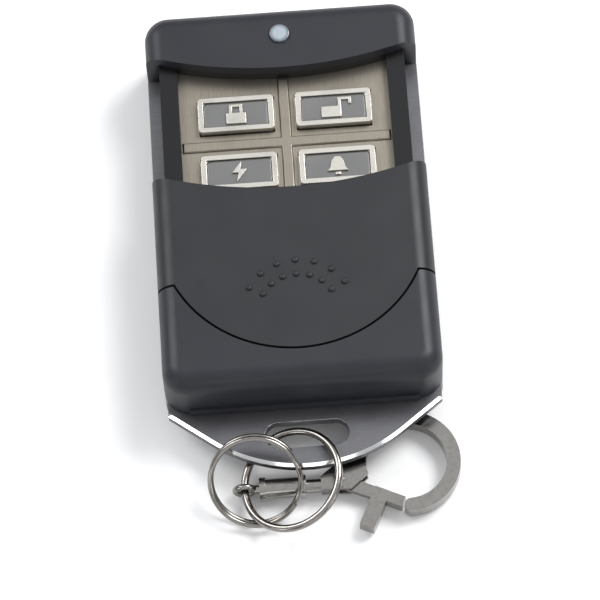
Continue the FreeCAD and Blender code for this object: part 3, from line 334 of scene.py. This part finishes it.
# The other metals
plate_metal = brushed(
    "plate_metal", (0.275, 0.25, 0.21), roughness=0.42, other=(0.20, 0.18, 0.15), lines_run=ALONG_CASE
)
key_metal = brushed(
    "key_metal", (0.68, 0.66, 0.60), roughness=0.3, other=(0.45, 0.43, 0.395),
    lines_run=ACROSS_CASE, line_width=0.03 * MM,
)
can_metal = brushed(
    "can_metal", (0.6, 0.6, 0.6), roughness=0.3, other=(0.42, 0.42, 0.43), lines_run=ALONG_CASE
)
switch_metal = brushed(
    "switch_metal", (0.55, 0.55, 0.55), roughness=0.35, other=(0.35, 0.35, 0.36), lines_run=ACROSS_CASE
)
ring_steel = plated("ring_steel", (0.25, 0.235, 0.22), roughness=0.16, dark=(0.16, 0.15, 0.14))
clasp_metal = plated(
    "clasp_metal", (0.29, 0.28, 0.265), roughness=0.19, dark=(0.22, 0.21, 0.20), depth=0.014 * MM
)
screw_metal = plated("screw_metal", (0.16, 0.16, 0.17), roughness=0.35, dark=(0.07, 0.07, 0.075))
contact_metal = plated("contact_metal", (0.62, 0.60, 0.55), roughness=0.3, dark=(0.35, 0.33, 0.29))
copper = plated("copper", (0.75, 0.36, 0.18), roughness=0.25, dark=(0.45, 0.18, 0.08))

# The enamel in the keys, which gleams partly like metal
INLAY_METALLIC = 0.55
inlay = glossy(
    "inlay", (0.15, 0.15, 0.15), roughness=0.38, other=(0.20, 0.20, 0.195), speckle=0.12 * MM
)
inlay.shader.inputs["Metallic"].default_value = INLAY_METALLIC

# The lamp's lens, with painted shade that darkens it towards its rim
LENS_ALONG = 23.0 * MM
LENS_RADIUS = 1.35 * MM
LENS_RIM_SHADE_COLOR = (0.10, 0.13, 0.17)
LENS_RIM_SHADE_START = 0.55 * LENS_RADIUS
LENS_LOOK = {
    "Transmission Weight": 0.35,
    "Subsurface Weight": 0.3,
    "Subsurface Scale": 0.5 * MM,
    "Coat Weight": 0.5,
}
lens = glossy("lens", (0.50, 0.57, 0.64), roughness=0.16, other=(0.60, 0.66, 0.72), speckle=0.3 * MM)
# Painted shade: from partway out, the lens darkens towards its rim
lens.tint(lens.away_from(0.0, LENS_ALONG), LENS_RIM_SHADE_COLOR, LENS_RIM_SHADE_START, LENS_RADIUS)
for socket_name, socket_value in LENS_LOOK.items():
    lens.shader.inputs[socket_name].default_value = socket_value

node_surfaces = {
    "back_cover": back_shell,
    "metal_frame": frame_metal,
    "front_case": shell,
    "slide_cover": cover,
    "key_plate": plate_metal,
    "key_lock": key_metal,
    "key_unlock": key_metal,
    "key_start": key_metal,
    "key_alarm": key_metal,
    "circuit_board": board,
    "switch_plunger_1": switch_plastic,
    "switch_plunger_2": switch_plastic,
    "switch_plunger_3": switch_plastic,
    "switch_plunger_4": switch_plastic,
    "tact_switches": switch_metal,
    "status_lamp": lamp_plastic,
    "lamp_lens": lens,
    "encoder_chip": chip,
    "resonator_can": can_metal,
    "battery_plus_contact": contact_metal,
    "battery_minus_contact": contact_metal,
    "battery": jacket,
    "battery_spring": contact_metal,
    "antenna_coil": copper,
    "case_screws": screw_metal,
    "board_screws": screw_metal,
    "detent_spring": contact_metal,
    "link_ring": ring_steel,
    "split_ring": ring_steel,
    "swivel_eye": clasp_metal,
    "clasp_hook": clasp_metal,
    "clasp_gate": clasp_metal,
    "gate_pin": ring_steel,
}


def dress(name, surface):
    """Gives a CAD node its material, in every slot that it has."""
    data = nodes[name].data
    if not data.materials:
        data.materials.append(surface.material)
    for number in range(len(data.materials)):
        data.materials[number] = surface.material


for node_name, node_surface in node_surfaces.items():
    dress(node_name, node_surface)


# Soft edges on the solids. Both angles are in degrees.
WELD_REACH = 0.002 * MM
FLAT_ANGLE = 0.4
SHARP_ANGLE = 35.0
BEVEL_SEGMENTS = 3


def soften(name, width):
    """Joins a CAD node's flat triangles and rounds its sharp edges, as moulding and tumbling leave them."""
    item = nodes[name]
    weld = item.modifiers.new("weld", "WELD")
    weld.merge_threshold = WELD_REACH
    flat = item.modifiers.new("flat", "DECIMATE")
    flat.decimate_type = "DISSOLVE"
    flat.angle_limit = math.radians(FLAT_ANGLE)
    bevel = item.modifiers.new("bevel", "BEVEL")
    bevel.width = width
    bevel.segments = BEVEL_SEGMENTS
    bevel.limit_method = "ANGLE"
    bevel.angle_limit = math.radians(SHARP_ANGLE)
    bevel.use_clamp_overlap = True
    bevel.harden_normals = False
    normals = item.modifiers.new("normals", "WEIGHTED_NORMAL")
    normals.keep_sharp = False
    for polygon in item.data.polygons:
        polygon.use_smooth = True


# How wide each node's soft edges are, in millimetres
SOFT_EDGES = {
    "back_cover": 0.12,
    "metal_frame": 0.07,
    "front_case": 0.13,
    "slide_cover": 0.13,
    "key_plate": 0.05,
    "key_lock": 0.07,
    "key_unlock": 0.07,
    "key_start": 0.07,
    "key_alarm": 0.07,
    "lamp_lens": 0.16,
    "clasp_hook": 0.2,
    "clasp_gate": 0.16,
    "case_screws": 0.08,
    "gate_pin": 0.08,
}
for node_name, edge_width in SOFT_EDGES.items():
    soften(node_name, edge_width * MM)


# Pieces that the picture needs beside the solids
def mesh_piece(name, form, surface, body):
    data = bpy.data.meshes.new(name)
    form.to_mesh(data)
    form.free()
    for polygon in data.polygons:
        polygon.use_smooth = True
    data.materials.append(surface.material)
    piece = bpy.data.objects.new(name, data)
    scene.collection.objects.link(piece)
    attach(piece, body)


KEY_LIP = 0.5 * MM
KEY_RIM = 0.7 * MM
KEY_RECESS = 0.35 * MM
INLAY_CORNER = 0.35 * MM
INLAY_THICKNESS = 0.06 * MM
INLAY_GAP = 0.04 * MM
DISH_INSET = 0.25 * MM
DISH_HEIGHT = 0.8 * INLAY_THICKNESS
CORNER_STEPS = 5
QUARTER_TURN = 90


def rounded_outline(left, right, near, far, corner):
    """The points of a rectangle with rounded corners, turning left from its near right corner."""
    points = []
    centres = (
        (right - corner, near + corner, -QUARTER_TURN),
        (right - corner, far - corner, 0),
        (left + corner, far - corner, QUARTER_TURN),
        (left + corner, near + corner, 2 * QUARTER_TURN),
    )
    for across, along, start in centres:
        for step in range(CORNER_STEPS + 1):
            angle = math.radians(start + QUARTER_TURN * step / CORNER_STEPS)
            points.append((across + corner * math.cos(angle), along + corner * math.sin(angle)))
    return points


def make_inlay(name, node, body):
    """The enamel that fills a key's recess around its raised sign, slightly dished."""
    low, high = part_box(node)
    left = low.x + KEY_LIP + KEY_RIM + INLAY_GAP
    right = high.x - KEY_LIP - KEY_RIM - INLAY_GAP
    near = low.y + KEY_LIP + KEY_RIM + INLAY_GAP
    far = high.y - KEY_LIP - KEY_RIM - INLAY_GAP
    floor = high.z - KEY_RECESS
    form = bmesh.new()
    rows = []
    for inset, height in ((0.0, 0.0), (0.0, INLAY_THICKNESS), (DISH_INSET, DISH_HEIGHT)):
        outline = rounded_outline(left + inset, right - inset, near + inset, far - inset, INLAY_CORNER)
        rows.append([form.verts.new((across, along, floor + height)) for across, along in outline])
    for lower, upper in zip(rows, rows[1:]):
        for number in range(len(lower)):
            following = (number + 1) % len(lower)
            form.faces.new((lower[number], lower[following], upper[following], upper[number]))
    form.faces.new(rows[-1])
    form.faces.new(list(reversed(rows[0])))
    mesh_piece(name, form, inlay, body)


for sign in ("lock", "unlock", "start", "alarm"):
    make_inlay("key_" + sign + "_inlay", "key_" + sign, sign + "_key")


# The floor, the backdrop and the light
FLOOR_REACH = 3.0
FLOOR_DROP = 0.02 * MM
FLOOR_COLOR = (0.93, 0.93, 0.935, 1.0)
FLOOR_ROUGHNESS = 0.9
FLOOR_GLOW = 0.03
WHITE = (1.0, 1.0, 1.0, 1.0)


def make_floor():
    form = bmesh.new()
    corners = [(-1, -1), (1, -1), (1, 1), (-1, 1)]
    height = cad_box[0][2] - FLOOR_DROP
    form.faces.new([form.verts.new((x * FLOOR_REACH, y * FLOOR_REACH, height)) for x, y in corners])
    data = bpy.data.meshes.new("floor")
    form.to_mesh(data)
    form.free()
    floor = bpy.data.objects.new("floor", data)
    scene.collection.objects.link(floor)
    material = bpy.data.materials.new("floor")
    material.use_nodes = True
    tree = material.node_tree
    shader = tree.nodes["Principled BSDF"]
    shader.inputs["Base Color"].default_value = FLOOR_COLOR
    shader.inputs["Roughness"].default_value = FLOOR_ROUGHNESS
    shader.inputs["Emission Color"].default_value = WHITE
    data.materials.append(material)
    tree.links.new(seen_rays(tree, FLOOR_GLOW), shader.inputs["Emission Strength"])


def seen_rays(tree, strength):
    """A strength for rays that come from the camera or off a glossy or clear surface, and 0 for the rest."""
    path = tree.nodes.new("ShaderNodeLightPath")
    total = path.outputs["Is Camera Ray"]
    for name in ("Is Glossy Ray", "Is Transmission Ray"):
        add = tree.nodes.new("ShaderNodeMath")
        add.operation = "ADD"
        add.use_clamp = True
        tree.links.new(total, add.inputs[0])
        tree.links.new(path.outputs[name], add.inputs[1])
        total = add.outputs["Value"]
    scale = tree.nodes.new("ShaderNodeMath")
    scale.operation = "MULTIPLY"
    scale.inputs[1].default_value = strength
    tree.links.new(total, scale.inputs[0])
    return scale.outputs["Value"]


# The gleam in gloss grows from the horizon's value to 1 between two heights, where 1 is straight up.
SKY_COLOR = (0.97, 0.985, 1.0, 1.0)
SKY_SEEN = 1.0
WORLD_LIGHT = 0.5
HORIZON_GLEAM = 0.12
GLEAM_START = 0.05
GLEAM_END = 0.8


def mixed(tree, share, one, other):
    """A value that goes from one to the other, each a number or a socket, as the share goes from 0 to 1."""
    blend = tree.nodes.new("ShaderNodeMix")
    tree.links.new(share, blend.inputs[MIX_SHARE])
    for number, value in ((MIX_VALUE_ONE, one), (MIX_VALUE_OTHER, other)):
        if isinstance(value, float):
            blend.inputs[number].default_value = value
        else:
            tree.links.new(value, blend.inputs[number])
    return blend.outputs[MIXED_VALUE]


def make_world():
    """White to the eye, an even light, and in gloss a studio that darkens towards the horizon."""
    world = bpy.data.worlds.new("studio")
    world.use_nodes = True
    tree = world.node_tree
    background = tree.nodes["Background"]
    background.inputs["Color"].default_value = SKY_COLOR
    way = tree.nodes.new("ShaderNodeSeparateXYZ")
    tree.links.new(tree.nodes.new("ShaderNodeTexCoord").outputs["Generated"], way.inputs["Vector"])
    rise = tree.nodes.new("ShaderNodeMapRange")
    rise.inputs["From Min"].default_value = GLEAM_START
    rise.inputs["From Max"].default_value = GLEAM_END
    rise.inputs["To Min"].default_value = HORIZON_GLEAM
    rise.inputs["To Max"].default_value = 1.0
    tree.links.new(way.outputs["Z"], rise.inputs["Value"])
    path = tree.nodes.new("ShaderNodeLightPath")
    strength = mixed(tree, path.outputs["Is Glossy Ray"], WORLD_LIGHT, rise.outputs["Result"])
    strength = mixed(tree, path.outputs["Is Camera Ray"], strength, SKY_SEEN)
    strength = mixed(tree, path.outputs["Is Transmission Ray"], strength, SKY_SEEN)
    tree.links.new(strength, background.inputs["Strength"])
    scene.world = world


LIGHT_TARGET = Vector((0.0, -0.01, 0.005))


def make_light(name, place, size, power):
    data = bpy.data.lights.new(name, "AREA")
    data.shape = "RECTANGLE"
    data.size, data.size_y = size
    data.energy = power
    light = bpy.data.objects.new(name, data)
    scene.collection.objects.link(light)
    light.location = place
    light.rotation_mode = "QUATERNION"
    light.rotation_quaternion = (LIGHT_TARGET - Vector(place)).to_track_quat("-Z", "Y")


make_floor()
make_world()
make_light("key_light", place=(0.55, 0.35, 0.75), size=(0.5, 0.5), power=9.0)
make_light("fill_light", place=(-0.62, 0.42, 0.62), size=(0.35, 0.6), power=4.0)
make_light("end_light", place=(0.05, -0.8, 0.35), size=(0.6, 0.25), power=0.7)
for light_name, light_across in (("left_strip", -0.7), ("right_strip", 0.7)):
    make_light(light_name, place=(light_across, -0.52, 0.32), size=(0.35, 0.25), power=0.9)
